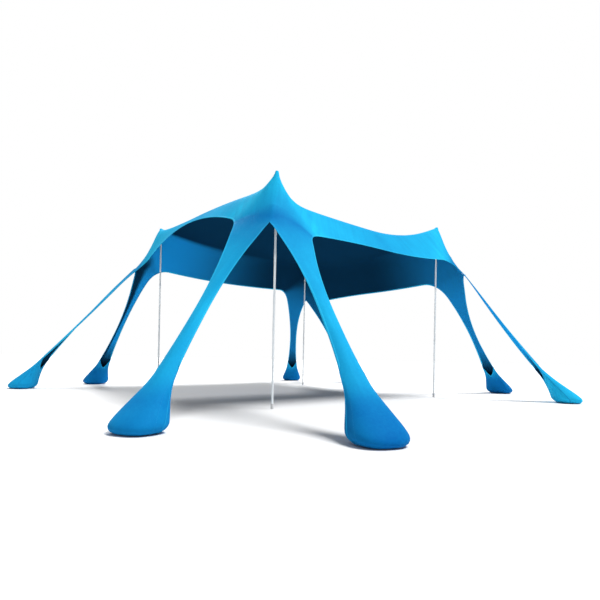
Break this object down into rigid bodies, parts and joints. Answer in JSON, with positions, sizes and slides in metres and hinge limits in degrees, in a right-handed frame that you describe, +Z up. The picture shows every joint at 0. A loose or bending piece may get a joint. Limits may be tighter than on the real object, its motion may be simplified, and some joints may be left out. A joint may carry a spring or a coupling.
{
  "type": "beach sun shelter",
  "caption": "Stretch-fabric sun shade over upright poles on a square, pulled down at each corner by two flat fabric arms that end in sand-filled pockets.",
  "frame": {"origin": "on the ground, under the middle of the shelter's whole outline with its sand pockets", "axes": "+Z up; the poles' square has its sides along X and Y, with its middle at X = -0.066 m and Y = -0.067 m; the corner nearest the viewer of the picture is at +X -Y"},
  "size_m": [5.6003, 5.4505, 2.0043],
  "materials": {
    "canopy_fabric": "smooth blue stretch knit with a soft sheen, bright where the sun shines on it and through it",
    "arm_fabric": "the same blue stretch knit, pulled into taut flat bands with turned hems",
    "pocket_fabric": "the same blue stretch knit, filled with sand and slightly darker at the rim",
    "pole_tube": "pale satin tube",
    "pole_fitting": "matte moulded fitting"
  },
  "bodies": {
    "root": {"canopy_front": "canopy_fabric", "canopy_right": "canopy_fabric", "canopy_back": "canopy_fabric", "canopy_left": "canopy_fabric", "arm_front_left": "arm_fabric", "arm_front_right": "arm_fabric", "arm_right_front": "arm_fabric", "arm_right_rear": "arm_fabric", "arm_back_right": "arm_fabric", "arm_back_left": "arm_fabric", "arm_left_rear": "arm_fabric", "arm_left_front": "arm_fabric", "sand_pocket_front_left": "pocket_fabric", "sand_pocket_front_right": "pocket_fabric", "sand_pocket_right_front": "pocket_fabric", "sand_pocket_right_rear": "pocket_fabric", "sand_pocket_back_right": "pocket_fabric", "sand_pocket_back_left": "pocket_fabric", "sand_pocket_left_rear": "pocket_fabric", "sand_pocket_left_front": "pocket_fabric", "pole_front_foot": "pole_fitting", "pole_front_lower": "pole_tube", "pole_front_middle": "pole_tube", "pole_front_upper": "pole_tube", "pole_front_cap": "pole_fitting", "pole_right_foot": "pole_fitting", "pole_right_lower": "pole_tube", "pole_right_middle": "pole_tube", "pole_right_upper": "pole_tube", "pole_right_cap": "pole_fitting", "pole_back_foot": "pole_fitting", "pole_back_lower": "pole_tube", "pole_back_middle": "pole_tube", "pole_back_upper": "pole_tube", "pole_back_cap": "pole_fitting", "pole_left_foot": "pole_fitting", "pole_left_lower": "pole_tube", "pole_left_middle": "pole_tube", "pole_left_upper": "pole_tube", "pole_left_cap": "pole_fitting"}
  },
  "joints": []
}
